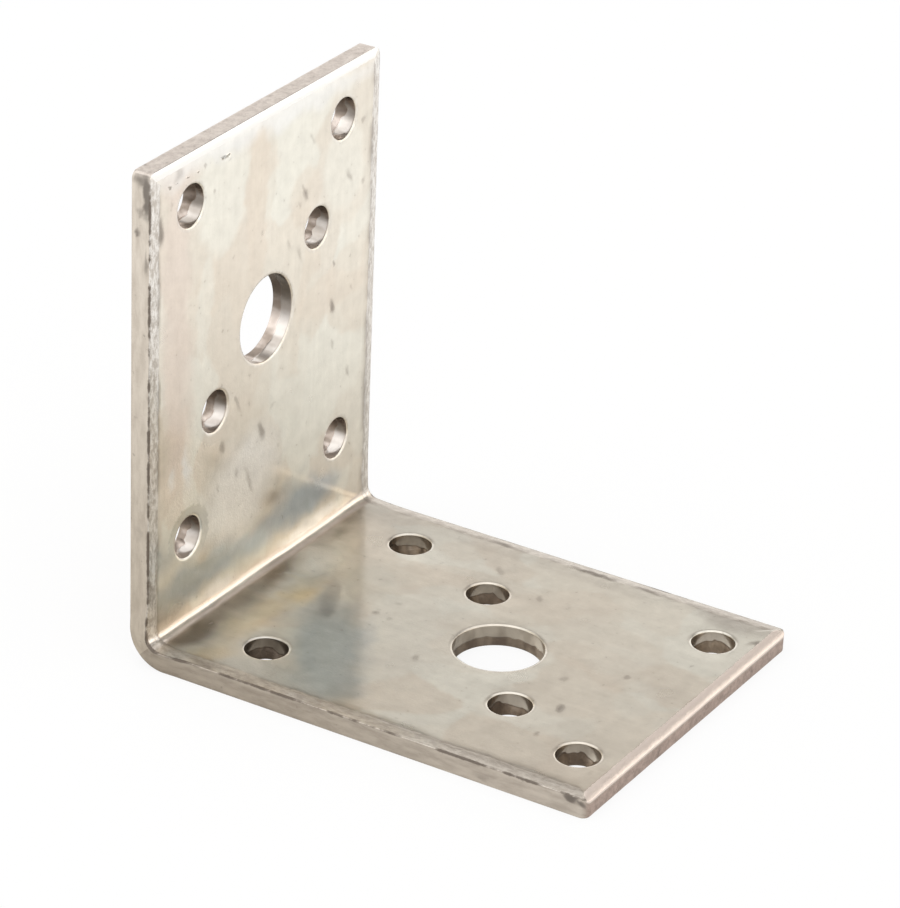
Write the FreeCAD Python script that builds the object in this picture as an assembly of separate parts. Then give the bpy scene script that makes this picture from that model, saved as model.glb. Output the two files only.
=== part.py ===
# Angle bracket: a strip of zinc-coated steel plate, folded once to a right angle and punched.
# Millimetres, +Z up. The base leg lies on the ground along X, and the upright leg stands at its -X end.
# The origin is on the ground, in the middle of the footprint.
# The shape is built from the heel, the corner where the legs' outer faces would meet, and moved at the end.

import FreeCAD, Part
import os
from math import atan2, cos, degrees, sin

# Folded plate, with each leg's length taken from the heel
width = 45.0
thickness = 2.6
base_length = 58.6
upright_length = 59.4
inner_bend_radius = 1.3
outer_bend_radius = 4.6
end_corner_radius = 0.9
upright_end_skew = 0.3  # how much further the upright leg reaches at its +Y side than at its -Y side

# Metal that the fold squeezes out sideways, most at the inner face, at the -Y and the +Y side
near_bulge = 0.55
far_bulge = 0.15
bulge_reach = 3.0  # how far the bulge runs out from the inner face of the bend

# Shoulders that shearing and punching pull down on the inner faces: how wide and how deep
side_roll_width = 1.6
side_roll_drop = 0.22
end_roll_width = 1.1
end_roll_drop = 0.55
hole_roll_width = 0.35
hole_roll_drop = 0.1

# Punched holes: parallel where the punch burnished the wall, and torn and closing in below
nail_hole_diameter = 5.0
bolt_hole_diameter = 10.4
nail_exit_diameter = 4.1  # at the outer face
bolt_exit_diameter = 10.1
burnished_share = 0.5  # of the plate's thickness

# Hole pattern, the same on both legs, with the rows counted from the heel
first_row = 13.2
corner_pitch_along = 40.0
corner_pitch_across = 30.0
bolt_row = 34.2
pair_pitch_along = 15.0
pair_pitch_across = 20.0

# How far a cutter reaches past the metal that it cuts
overrun = 1.0

skew_angle = degrees(atan2(upright_end_skew, width))

X = FreeCAD.Vector(1, 0, 0)
Y = FreeCAD.Vector(0, 1, 0)
Z = FreeCAD.Vector(0, 0, 1)

# A leg is described lying along X with its inner face up. Half a turn about the line between
# the legs' directions lays that description on the upright leg, and turns its Y side round.
base_leg = FreeCAD.Placement()
upright_leg = FreeCAD.Placement(FreeCAD.Vector(), FreeCAD.Rotation(X + Z, 180))


def on_leg(shape, leg):
    """A copy of a leg's shape, laid on that leg."""
    placed = shape.copy()
    placed.Placement = leg.multiply(placed.Placement)
    return placed


def polygon(points):
    """A flat face with straight sides."""
    return Part.Face(Part.makePolygon(points + points[:1]))


def edges_at(shape, middles):
    """The edges of a shape whose midpoints are the ones given."""
    close = thickness / 10
    return [e for e in shape.Edges if any((e.CenterOfMass - m).Length < close for m in middles)]


def shoulder_arc(start, outward, inward, reach, drop):
    """The arc that leaves a face smoothly, and ends a reach further out and a drop deeper."""
    radius = (reach**2 + drop**2) / (2 * drop)
    half_turn = atan2(drop, reach)
    middle = start + outward * (radius * sin(half_turn)) + inward * (radius * (1 - cos(half_turn)))
    end = start + outward * reach + inward * drop
    return Part.Arc(start, middle, end).toShape(), end


def shoulder_waste(edge, outward, reach, drop, spare):
    """What a shoulder takes off above a leg: a flat face across an edge point of the inner face."""
    lift = inner_bend_radius / 2
    start = edge - outward * reach
    arc, end = shoulder_arc(start, outward, -Z, reach, drop)
    past = end + outward * spare
    above = FreeCAD.Vector(past.x, past.y, start.z + lift)
    lines = Part.makePolygon([end, past, above, start + Z * lift, start]).Edges
    return Part.Face(Part.Wire([arc] + lines))


def folded_plate():
    """The plate as folded, with a square end on the base and a skewed one on the upright."""
    uncut_height = upright_length + upright_end_skew
    side_view = polygon(
        [
            FreeCAD.Vector(0, -width / 2, 0),
            FreeCAD.Vector(base_length, -width / 2, 0),
            FreeCAD.Vector(base_length, -width / 2, thickness),
            FreeCAD.Vector(thickness, -width / 2, thickness),
            FreeCAD.Vector(thickness, -width / 2, uncut_height),
            FreeCAD.Vector(0, -width / 2, uncut_height),
        ]
    )
    plate = side_view.extrude(Y * width)
    plate = plate.makeFillet(outer_bend_radius, edges_at(plate, [FreeCAD.Vector()]))
    plate = plate.makeFillet(inner_bend_radius, edges_at(plate, [FreeCAD.Vector(thickness, 0, thickness)]))

    top = Part.makeBox(thickness + 2 * overrun, 2 * width, 2 * overrun)
    top.translate(FreeCAD.Vector(-overrun, -width, upright_length))
    top.rotate(FreeCAD.Vector(0, 0, upright_length), X, skew_angle)
    plate = plate.cut(top)

    corners = []
    for side in (-1, 1):
        height = upright_length + side * upright_end_skew / 2
        corners.append(FreeCAD.Vector(base_length, side * width / 2, thickness / 2))
        corners.append(FreeCAD.Vector(thickness / 2, side * width / 2, height))
    return plate.makeFillet(end_corner_radius, edges_at(plate, corners))


def side_bulge(plate, side, bulge):
    """The metal squeezed out past one side: the bend's own outline, within a cone about its axis."""
    outline = next(f for f in plate.Faces if abs(f.CenterOfMass.y - side * width / 2) < bulge / 10)
    flank = outline.extrude(Y * (side * bulge))
    middle = FreeCAD.Vector(thickness + inner_bend_radius, side * width / 2, thickness + inner_bend_radius)
    cone = Part.makeCone(inner_bend_radius + bulge_reach, inner_bend_radius, bulge, middle, Y * side)
    return flank.common(cone)


def side_shoulder(side):
    """What is pulled down along one long edge, on both legs and round the bend between them."""
    spare = max(near_bulge, far_bulge) + overrun
    bend = thickness + inner_bend_radius
    edge = FreeCAD.Vector(bend, side * width / 2, thickness)
    turned_edge = FreeCAD.Vector(bend, -side * width / 2, thickness)
    section = shoulder_waste(edge, Y * side, side_roll_width, side_roll_drop, spare)
    turned = shoulder_waste(turned_edge, Y * -side, side_roll_width, side_roll_drop, spare)
    along_base = section.extrude(X * base_length)
    along_upright = on_leg(turned.extrude(X * upright_length), upright_leg)
    round_bend = section.revolve(FreeCAD.Vector(bend, 0, bend), Y, 90)
    return [along_base, round_bend, along_upright]


def end_shoulder(length, skew):
    """What is pulled down along a leg's end."""
    edge = FreeCAD.Vector(length, -width, thickness)
    section = shoulder_waste(edge, X, end_roll_width, end_roll_drop, overrun)
    waste = section.extrude(Y * (2 * width))
    waste.rotate(FreeCAD.Vector(length, 0, 0), Z, skew)
    return waste


def punch(diameter, exit_diameter):
    """The space that a punched hole leaves in a leg, about the Z axis."""
    radius = diameter / 2
    torn = exit_diameter / 2
    burnished = thickness * (1 - burnished_share)
    rim = FreeCAD.Vector(radius + hole_roll_width, 0, thickness)
    arc, wall = shoulder_arc(rim, -X, -Z, hole_roll_width, hole_roll_drop)
    lines = Part.makePolygon(
        [
            wall,
            FreeCAD.Vector(radius, 0, burnished),
            FreeCAD.Vector(torn, 0, 0),
            FreeCAD.Vector(torn, 0, -overrun),
            FreeCAD.Vector(0, 0, -overrun),
            FreeCAD.Vector(0, 0, thickness + overrun),
            rim + Z * overrun,
            rim,
        ]
    ).Edges
    half_section = Part.Face(Part.Wire([arc] + lines))
    return half_section.revolve(FreeCAD.Vector(), Z, 360)


def leg_holes():
    """A leg's punched holes: four nails at the corners, two beside the bolt on a slant, and the bolt."""
    nails = []
    for side in (-1, 1):
        for row in (first_row, first_row + corner_pitch_along):
            nails.append(FreeCAD.Vector(row, side * corner_pitch_across / 2, 0))
        slant = bolt_row - side * pair_pitch_along / 2
        nails.append(FreeCAD.Vector(slant, side * pair_pitch_across / 2, 0))
    holes = [punch(bolt_hole_diameter, bolt_exit_diameter)]
    holes[0].translate(FreeCAD.Vector(bolt_row, 0, 0))
    for centre in nails:
        hole = punch(nail_hole_diameter, nail_exit_diameter)
        hole.translate(centre)
        holes.append(hole)
    return holes


def angle_bracket():
    """The finished bracket, standing on its base leg about the origin."""
    plate = folded_plate()
    bulges = [side_bulge(plate, side, bulge) for side, bulge in ((-1, near_bulge), (1, far_bulge))]
    bracket = plate.fuse(bulges)

    shoulders = side_shoulder(-1) + side_shoulder(1)
    shoulders.append(on_leg(end_shoulder(base_length, 0), base_leg))
    shoulders.append(on_leg(end_shoulder(upright_length, skew_angle), upright_leg))
    for waste in shoulders:
        bracket = bracket.cut(waste)

    for leg in (base_leg, upright_leg):
        bracket = bracket.cut([on_leg(hole, leg) for hole in leg_holes()])

    bracket = bracket.removeSplitter()
    bracket.translate(FreeCAD.Vector(-base_length / 2, 0, 0))
    return bracket.Solids[0]


os.makedirs("parts", exist_ok=True)
bracket = angle_bracket()
bracket.exportStep("parts/angle_bracket.step")
box = bracket.BoundBox
print("angle_bracket", round(box.XLength, 3), round(box.YLength, 3), round(box.ZLength, 3), "mm")
print("volume", round(bracket.Volume, 1), "mm3, valid", bracket.isValid(), "faces", len(bracket.Faces))
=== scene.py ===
"""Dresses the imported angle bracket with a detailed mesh, its zinc finish and a plain studio.

Lengths are in millimetres from the heel, the corner where the legs' outer faces would meet, until the
mesh is written in metres. A place on the plate is (s, y): s runs along the plate, positive on the base
leg and negative on the upright one, and y runs across it. Depth counts from the inner face outward.
Noise is seeded: each number that goes first into rough() or crystal() picks a pattern of its own.
"""

import bpy
import math
from mathutils import Matrix, Vector, noise
from mathutils.geometry import delaunay_2d_cdt

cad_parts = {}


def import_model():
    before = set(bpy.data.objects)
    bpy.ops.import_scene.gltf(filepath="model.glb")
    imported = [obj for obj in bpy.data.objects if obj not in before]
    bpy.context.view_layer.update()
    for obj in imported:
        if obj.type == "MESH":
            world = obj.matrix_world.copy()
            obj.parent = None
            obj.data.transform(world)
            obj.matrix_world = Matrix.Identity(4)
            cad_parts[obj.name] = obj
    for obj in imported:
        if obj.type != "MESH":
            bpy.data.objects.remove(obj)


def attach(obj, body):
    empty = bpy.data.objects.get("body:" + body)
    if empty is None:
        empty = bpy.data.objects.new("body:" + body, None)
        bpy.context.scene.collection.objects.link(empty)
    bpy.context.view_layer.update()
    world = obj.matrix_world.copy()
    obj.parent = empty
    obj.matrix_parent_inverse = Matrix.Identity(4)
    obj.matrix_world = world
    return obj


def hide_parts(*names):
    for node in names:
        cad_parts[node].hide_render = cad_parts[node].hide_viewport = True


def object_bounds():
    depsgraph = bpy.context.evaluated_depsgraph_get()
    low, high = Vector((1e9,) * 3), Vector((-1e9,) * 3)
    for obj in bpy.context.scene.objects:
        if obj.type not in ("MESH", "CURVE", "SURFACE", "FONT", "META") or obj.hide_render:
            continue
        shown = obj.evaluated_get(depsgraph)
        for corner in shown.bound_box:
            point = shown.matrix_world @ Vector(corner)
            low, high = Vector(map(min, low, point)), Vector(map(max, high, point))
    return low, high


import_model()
cad_low, cad_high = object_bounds()

MM = 0.001
NODE = "angle_bracket"

# The plate, as in the part's source
THICKNESS = 2.6
HALF_WIDTH = 22.5
INNER_RADIUS = 1.3
OUTER_RADIUS = 4.6
CORNER_RADIUS = 0.9
UPRIGHT_LENGTH = 59.4
BASE_LENGTH = (cad_high.x - cad_low.x) / MM
HEEL_X = cad_low.x / MM

# The upright leg's slanted end: how much further its +Y side reaches, and how far from the end the
# slant begins and is complete
END_SKEW = 0.3
SKEW_FADE = (2.9, 1.2)

# Metal that the fold squeezes out at the -Y and the +Y side, a little less than the part's, and its reach
NEAR_BULGE = 0.45
FAR_BULGE = 0.12
BULGE_REACH = 3.0

# Shoulders pulled down by shearing and punching: how wide and how deep
SIDE_ROLL = (1.6, 0.24)
BASE_END_ROLL = (1.1, 0.66)
UPRIGHT_END_ROLL = (2.0, 0.45)
HOLE_ROLL = (0.3, 0.1)
HOLE_DISH = (3.0, 0.025)

# How sharply a shoulder falls, at the ends and holes and at the sides, and how sharply two of them meet
ROLL_POWER = 2.0
SIDE_ROLL_POWER = 1.4
CORNER_POWER = 3

# How a shoulder's width varies: by which shares, in waves of which length
SIDE_ROLL_WAVES = [(0.1, 4.0), (0.07, 0.9)]
END_ROLL_WAVES = [(0.12, 3.5), (0.06, 0.8)]

# Punched holes, as in the part's source
NAIL_RADIUS = 2.5
BOLT_RADIUS = 5.2
NAIL_EXIT = 2.05
BOLT_EXIT = 5.05
FIRST_ROW = 13.2
CORNER_ALONG = 40.0
CORNER_ACROSS = 30.0
BOLT_ROW = 34.2
PAIR_ALONG = 15.0
PAIR_ACROSS = 20.0

# Where the punch's burnished wall gives way to the torn one, as a share of the thickness: the usual
# share, its limits, how much it slants in a nail hole, and the side where it tore earliest
TEAR = 0.6
TEAR_LIMITS = (0.35, 0.9)
TEAR_SLANT = 0.16
TEAR_SIDE = math.radians(165)

# Painted shade in the bores: the side it lies on and how strong it is, on the base and on the upright, and
# how strong it is all round the base's nail hole by the bend at the -Y side
BORE_SHADE_BASE = (math.radians(150), 0.45)
BORE_SHADE_UPRIGHT = (math.radians(140), 0.9)
SHADED_NAIL_HOLE = 0.6

# How the mesh is divided: steps along the outline, round a hole and round a corner, and the grids of
# the two faces
EDGE_STEP = 0.36
HOLE_STEP = 0.29
CORNER_STEPS = 6
INNER_GRID = 0.43
OUTER_GRID = 1.6

# In steps of the grid: how far its points stray, how far they keep from its borders, and how far
# apart its rows are
GRID_STRAY = 0.13
GRID_CLEAR = 0.62
GRID_ROW = 0.87

# Rows of points from the inner sheet outward: its inset from the edge, shares of the shoulder's width,
# shares of the thickness down the sheared side, and insets on the outer face
SHEET_INSET = 2.6
SHOULDER_ROWS = [1.25, 1.12, 1.05, 1.01, 0.98, 0.94, 0.87, 0.78, 0.67, 0.55, 0.43, 0.31, 0.21, 0.13, 0.06, 0]
SIDE_ROWS = [0.015, 0.035, 0.055, 0.08, 0.12, 0.2, 0.3, 0.42, 0.55, 0.68, 0.8, 0.9, 0.96, 0.985]
OUTER_ROWS = [0.08, 0.25, 0.8]

# Rows of points down a hole: distances from its wall over the rim, shares of the burnished wall,
# shares of the torn one, and distances from the wall on the outer face
RIM_ROWS = [1.0, 0.7, 0.52, 0.44, 0.36, 0.28, 0.2, 0.13, 0.07, 0.03, 0.0]
BURNISHED_ROWS = [0.12, 0.35, 0.6, 0.85, 1.0]
TORN_ROWS = [0.04, 0.15, 0.3, 0.45, 0.6, 0.75, 0.9, 0.98]
OUTER_HOLE_ROWS = [0.3, 0.7]

# Slight bow of the legs where the fold began to take them: its height, its reach and how sharply it
# falls, how much of it is missing where it is weakest, and how uneven its reach is
BOW = 0.118
BOW_REACH = 7.5
BOW_POWER = 3.0
BOW_WEAKER = 0.4
BOW_UNEVEN = 0.25

# Where the upright's bow is weak, round a line near its middle and toward its sides, and where the
# base's is: in its +Y part, with the share that is left there
BOW_MIDDLE = -1.0
BOW_MIDDLE_FADE = (2.0, 5.0)
BOW_SIDE_FADE = (16.5, 12.5)
BOW_BASE_FADE = (6.0, 2.0)
BOW_BASE_LEFT = 0.3

# Faint waves of the inner faces: depth, and length along and across the plate
WAVES = [(0.02, 24.0, 24.0), (0.006, 8.0, 6.0), (0.0015, 2.5, 1.6)]

# How far the groove at a shoulder, the crack under it, the sheared side and its grain lie in, and how
# wide and how deep the side's lower edge is rounded
GROOVE_DEPTH = 0.05
CRACK_DEPTH = 0.06
SIDE_INSET = 0.02
SIDE_GRAIN = 0.012
LOWER_EDGE = (0.2, 0.05)

# How dark the crack is, with grime and painted shade: along the -Y edge of the base and of the upright, how
# much darker in its deep stretches, and along the other edges, with the share that shows at the base's +Y
# side and elsewhere
CRACK_BASE = 0.35
CRACK_UPRIGHT = 0.42
CRACK_DEEPER = 0.5
CRACK_ELSEWHERE = 0.3
CRACK_FAR_SHARE = 0.8
CRACK_FAINT_SHARE = 0.2

# Tears in the coating along the upright's -Y shoulder: how deep, and how far from the edge they reach
PEEL = 0.06
PEEL_WIDTH = 2.2

# The torn walls of the bores: how far in they start, and their coarse and fine roughness
TORN_INSET = 0.03
TORN_COARSE = 0.035
TORN_FINE = 0.02

# The coating's colours, some of them also used for painted shade, highlights and reflections
PALE = (0.93, 0.895, 0.795)
CREAM = (0.865, 0.79, 0.68)
BEIGE = (0.86, 0.765, 0.645)
ROSY = (0.87, 0.755, 0.66)
WHITE_AND_HIGHLIGHT = (0.97, 0.955, 0.92)
STEEL_BLUE_TINT_AND_REFLECTION = (0.56, 0.60, 0.60)
SLATE_TINT_AND_REFLECTION = (0.52, 0.59, 0.64)
GREY_GREEN = (0.74, 0.745, 0.66)
OCHRE = (0.97, 0.79, 0.52)
FOLD_SHADE = (0.36, 0.30, 0.23)
DRAB = (0.62, 0.575, 0.51)

# Two colours that mix in each worn place, on the base and on the upright. On the sides, ends and bores the
# base's pair is darker as painted shade and the upright's lighter as painted light
SIDE_COLOURS_SHADED_AND_LIT = [((0.66, 0.59, 0.51), (0.48, 0.42, 0.36)), ((0.84, 0.76, 0.66), (0.66, 0.585, 0.50))]
END_COLOURS_SHADED_AND_LIT = [((0.54, 0.42, 0.36), (0.34, 0.26, 0.22)), ((0.92, 0.84, 0.77), (0.70, 0.62, 0.56))]
BORE_COLOURS_SHADED_AND_LIT = [((0.90, 0.82, 0.70), (0.60, 0.53, 0.44)), ((0.94, 0.88, 0.82), (0.62, 0.56, 0.50))]
TORN_COLOURS_SHADED_AND_LIT = [((0.46, 0.38, 0.30), (0.24, 0.19, 0.15)), ((0.98, 0.87, 0.79), (0.48, 0.40, 0.34))]
SHOULDER_COLOURS = [((0.52, 0.46, 0.40), (0.72, 0.655, 0.58)), ((0.56, 0.51, 0.46), (0.97, 0.94, 0.90))]

# The end shoulders' polished lips, on the base and on the upright
LIP_COLOURS = [(0.93, 0.81, 0.73), (0.98, 0.955, 0.92)]

# Dirt on the faces, with painted shade along the base's +Y shoulder, dirt on the sides, painted shade in the
# bores, and grime with painted shade in the cracks
DIRT_AND_SHADE = (0.27, 0.23, 0.195)
SIDE_DIRT = (0.13, 0.11, 0.095)
BORE_SHADE = (0.12, 0.097, 0.078)
GRIME_AND_SHADE = (0.22, 0.185, 0.155)

# Roughness of the metal's two reflections, which mix everywhere
SHARP = 0.13
HAZY = 0.42

# How wide the coating's crystals are across the plate, how much longer along it, how far their middles
# stray and how softly they join, as shares of a crystal, and how wide its fine flecks are
CRYSTAL = 7.0
CRYSTAL_STRETCH = 1.5
MIDDLE_STRAY = 0.8
CRYSTAL_JOIN = 0.08
FLECK = 2.4

# How outlines are made uneven: the length of the waves, and how far they move a place
CRYSTAL_WAVES = [(9.0, 4.0), (2.2, 0.9)]
PATCH_WAVES = [(4.0, 1.1), (1.1, 0.45)]
FACE_MARK_WAVES = [(1.2, 0.35)]
SIDE_SMUDGE_WAVES = [(0.9, 0.5)]
DULL_WAVES = [(2.0, 1.0)]

# How soft the outlines of smudges, of the painted shade along the base's +Y shoulder and of matt places are
FACE_MARK_SOFTNESS = 0.8
SIDE_SMUDGE_SOFTNESS = 0.7
DULL_SOFTNESS = 0.7

# The floor's paint, as seen and as mirrored in the metal, where it is darker as painted shade near the
# bracket
FLOOR_PAINT = (0.95, 0.95, 0.95)
FLOOR_MIRRORED_SHADE = (0.56, 0.54, 0.50)

# The room's light behind the bracket: the height it comes from, 0 at the horizon and 1 straight above,
# with its colour, overhead and for the left and the right below that. And the light in front of it
OVERHEAD = [(0.68, 0.3), (0.79, 1.05), (1.0, 1.3)]
BACK_LEFT = [
    (0.0, 1.1),
    (0.3, 1.2),
    (0.42, (0.88, 0.86, 0.83)),
    (0.52, (0.5, 0.48, 0.46)),
    (0.62, (0.29, 0.265, 0.24)),
]
BACK_RIGHT = [
    (0.0, (1.4, 1.34, 1.26)),
    (0.3, (2.0, 1.92, 1.8)),
    (0.39, (1.3, 1.27, 1.22)),
    (0.43, (0.42, 0.45, 0.48)),
    (0.52, (0.17, 0.165, 0.155)),
    (0.62, (0.22, 0.195, 0.165)),
]
FRONT = [(0.0, 1.0), (0.3, 1.1), (0.5, 1.3), (0.7, 1.2), (1.0, 1.5)]

# Patches of the coating on the inner faces, some of them painted shade, highlights and reflections: a
# colour, how soft, and for each its place (s, y), length along s, width, slant and strength
PATCHES = [
    (PALE, 0.15, [
        (-52.5, -9.0, 13.0, 10.0, 0.15, 0.9),
        (-56.5, 6.5, 6.5, 13.0, 0.1, 0.9),
        (-47.5, 15.5, 11.0, 8.0, 0.0, 0.7),
        (-40.5, -12.0, 12.0, 3.5, -0.15, 0.6),
        (-22.5, 16.5, 8.0, 7.0, 0.1, 0.8),
        (-13.0, -9.5, 5.0, 4.0, 0.3, 0.6),
        (-26.0, 1.5, 6.0, 7.0, 0.4, 0.35),
        (49.8, -10.5, 6.0, 4.5, 0.6, 0.45),
        (52.5, -1.5, 5.0, 8.0, 0.2, 0.4),
        (21.3, -4.3, 7.0, 5.0, 0.4, 0.45),
        (46.5, 5.0, 6.0, 6.0, 0.5, 0.25),
    ]),
    (BEIGE, 0.15, [
        (-49.5, -2.3, 22.0, 4.2, 0.0, 0.85),
        (-46.5, 7.6, 6.0, 7.0, 0.3, 0.55),
        (-32.5, 13.0, 5.0, 15.0, -0.05, 0.6),
        (19.5, 17.5, 7.0, 5.0, 0.3, 0.4),
        (29.0, 3.0, 8.0, 6.0, 0.2, 0.3),
    ]),
    (ROSY, 0.4, [
        (-42.0, -17.8, 36.0, 5.0, 0.0, 0.75),
        (-30.0, -16.5, 22.0, 5.0, 0.0, 0.5),
        (-57.0, -17.5, 5.0, 7.0, 0.0, 0.7),
        (-2.0, 0.0, 3.6, 70.0, 0.0, 0.8),
        (2.2, 0.0, 3.2, 70.0, 0.0, 0.9),
    ]),
    (WHITE_AND_HIGHLIGHT, 0.6, [
        (-22.0, -15.4, 4.0, 1.3, 0.0, 0.8),
        (-21.5, -17.8, 2.6, 1.2, 0.0, 0.6),
        (-58.0, 0.0, 3.0, 44.0, 0.0, 0.8),
    ]),
    (GREY_GREEN, 0.6, [
        (-17.0, -4.0, 12.0, 16.0, 0.3, 0.2),
        (14.0, 4.0, 10.0, 9.0, 0.0, 0.3),
    ]),
    # Partly a blue-grey tint of the coating and partly a painted reflection, low on the upright by the fold
    (SLATE_TINT_AND_REFLECTION, 0.5, [
        (-7.9, 8.8, 4.6, 12.5, 0.0, 0.85),
        (-7.5, -12.0, 4.4, 18.0, 0.0, 0.75),
        (-7.4, 0.0, 3.6, 8.0, 0.0, 0.6),
        (-10.5, 5.0, 3.0, 6.0, 0.3, 0.35),
    ]),
    # Partly a blue-grey tint of the coating and partly a painted reflection, on the base by the fold
    (STEEL_BLUE_TINT_AND_REFLECTION, 0.5, [
        (18.6, -10.8, 21.0, 8.5, -1.0, 1.0),
        (23.5, -16.5, 7.0, 6.0, -1.0, 0.7),
        (17.5, -19.8, 14.0, 5.0, 0.0, 0.6),
        (13.5, -4.5, 7.0, 5.0, -1.0, 0.35),
        (11.5, 1.5, 4.0, 4.0, 0.0, 0.15),
        (12.5, -16.5, 7.0, 10.0, 0.0, 0.5),
    ]),
    (OCHRE, 0.7, [
        (9.3, -2.6, 3.6, 4.4, 0.0, 0.95),
        (8.0, 1.2, 3.0, 3.4, 0.0, 0.5),
        (8.2, -7.5, 3.6, 5.5, 0.1, 0.65),
        (8.0, -13.5, 3.6, 6.5, 0.0, 0.65),
        (8.6, -19.2, 3.4, 4.6, 0.0, 0.8),
    ]),
    # Painted shade: the dark band on the base beside the fold
    (FOLD_SHADE, 0.8, [
        (4.7, -17.5, 3.2, 9.0, 0.0, 0.95),
        (4.8, -9.0, 3.4, 14.0, 0.0, 0.7),
        (4.8, 0.0, 2.8, 8.0, 0.0, 0.85),
        (5.4, 13.0, 1.4, 3.0, 0.0, 0.5),
        (4.4, 17.0, 1.4, 3.0, 0.0, 0.4),
    ]),
    (WHITE_AND_HIGHLIGHT, 0.4, [
        (-15.0, -5.0, 12.0, 15.0, 0.3, 0.7),
        # Painted highlights: the next two marks brighten the streak on the upright beside the fold
        (-4.1, 9.5, 1.8, 12.0, 0.0, 0.85),
        (-4.0, -9.0, 1.8, 6.5, 0.0, 0.85),
    ]),
    (DRAB, 0.6, [
        (7.5, 19.4, 8.0, 5.5, 0.0, 0.5),
        (12.0, -18.0, 9.0, 10.0, 0.0, 0.5),
        (30.0, 20.6, 52.0, 3.0, 0.0, 0.4),
        (53.5, 21.2, 10.0, 4.0, 0.0, 0.95),
        (17.0, 18.0, 24.0, 7.0, 0.0, 0.22),
        (25.0, -4.0, 9.0, 26.0, 0.0, 0.2),
    ]),
    (PALE, 0.8, [
        (6.9, 1.0, 3.6, 0.5, 0.63, 0.7),
        (9.2, 4.7, 0.5, 5.6, 0.0, 0.6),
        (12.9, 0.9, 6.4, 0.5, -0.72, 0.7),
        (7.0, 5.0, 5.0, 8.0, 0.1, 0.6),
    ]),
]

# Matt places on the inner faces
DULL = [
    (-20.0, -16.0, 14.0, 12.0, 0.0, 1.0),
    (-15.0, -5.0, 13.0, 16.0, 0.3, 1.0),
    (6.5, 5.5, 6.0, 9.0, 0.1, 0.7),
]

# Dark smudges of dirt on the inner faces, and painted shade along the base's +Y shoulder, by place (s, y),
# length, width, slant and strength
SMUDGES_AND_EDGE_SHADE = [
    (-46.9, 7.3, 2.6, 0.7, 0.5, 0.9),
    (-45.9, 6.3, 1.6, 0.5, 0.7, 0.7),
    (-45.1, -1.2, 1.2, 0.8, 0.2, 0.6),
    (-45.7, 16.5, 2.6, 0.8, 0.5, 0.7),
    (-36.0, 13.5, 0.7, 0.6, 0.0, 1.0),
    (-30.6, 13.4, 1.8, 0.9, 0.3, 1.1),
    (-31.6, 17.3, 1.0, 0.5, 0.3, 0.8),
    (-39.7, 6.4, 2.8, 0.8, 0.5, 0.6),
    (-41.9, 4.0, 2.6, 0.6, 0.5, 0.5),
    (-51.8, 19.0, 0.8, 0.9, 0.0, 0.7),
    (-44.1, 19.2, 1.2, 0.8, 0.2, 0.8),
    (-53.1, 8.5, 2.2, 0.7, 0.7, 0.6),
    (-57.0, -12.5, 0.6, 0.5, 0.0, 0.9),
    (-53.5, -10.7, 0.6, 0.5, 0.0, 0.9),
    (-53.3, 2.1, 1.4, 0.5, 0.8, 0.4),
    (-53.4, 4.6, 0.5, 3.0, 0.0, 0.3),
    (-52.1, -20.6, 3.2, 0.9, 0.0, 1.1),
    (-57.6, -17.4, 1.4, 2.2, 0.4, 0.55),
    (-54.0, -18.7, 2.2, 0.7, 0.2, 0.55),
    (-26.3, -5.9, 3.6, 0.8, 0.5, 0.75),
    (-20.6, -0.8, 2.8, 1.0, 0.5, 0.85),
    (-21.7, -8.6, 1.6, 1.4, 0.2, 0.8),
    (-23.4, -11.5, 1.0, 0.6, 0.2, 0.7),
    (-22.8, 1.1, 0.5, 2.0, 0.6, 0.5),
    (-15.3, -3.1, 4.6, 0.9, 0.4, 0.7),
    (-17.3, -5.7, 1.4, 0.7, 0.3, 0.7),
    (-16.9, -9.3, 1.4, 0.7, 0.5, 0.7),
    (-17.3, 2.8, 0.8, 0.7, 0.0, 0.7),
    (-25.8, 13.6, 1.8, 0.6, 0.3, 0.6),
    (-21.1, 17.0, 1.8, 0.8, 0.3, 0.7),
    (-13.0, 17.2, 1.6, 0.6, 0.1, 0.5),
    (25.1, 15.3, 0.9, 2.2, 0.6, 0.75),
    (46.6, -7.6, 1.0, 1.8, 0.4, 1.1),
    (49.3, 2.4, 0.8, 1.0, 0.2, 0.9),
    (43.7, -1.9, 1.0, 1.2, 0.4, 0.7),
    (32.2, 12.3, 0.5, 1.8, 0.5, 0.7),
    (35.9, 12.8, 0.4, 1.6, 0.5, 0.5),
    (57.4, 17.4, 0.6, 1.4, 0.2, 1.2),
    (27.8, -7.3, 0.8, 1.8, 0.3, 0.7),
    (47.4, -13.8, 0.8, 1.0, 0.2, 0.8),
    (55.6, -17.2, 0.8, 1.6, 0.4, 0.9),
    (18.8, -1.2, 0.7, 1.0, 0.2, 0.9),
    (20.8, -1.6, 0.7, 0.9, 0.2, 0.8),
    (19.8, 2.0, 0.7, 1.0, 0.5, 0.6),
    (5.0, -14.0, 0.8, 1.2, 0.2, 0.9),
    # Painted shade: a dashed dark line along the base's +Y shoulder
    (22.0, 21.2, 3.0, 0.7, 0.0, 0.9),
    (28.6, 21.2, 2.6, 0.6, 0.0, 0.8),
    (34.6, 21.2, 5.2, 0.8, 0.0, 1.2),
    (41.2, 21.2, 3.0, 0.6, 0.0, 0.9),
    (48.5, 21.2, 4.0, 0.5, 0.0, 0.6),
    (12.0, 21.2, 4.0, 0.5, 0.0, 0.5),
]

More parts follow.
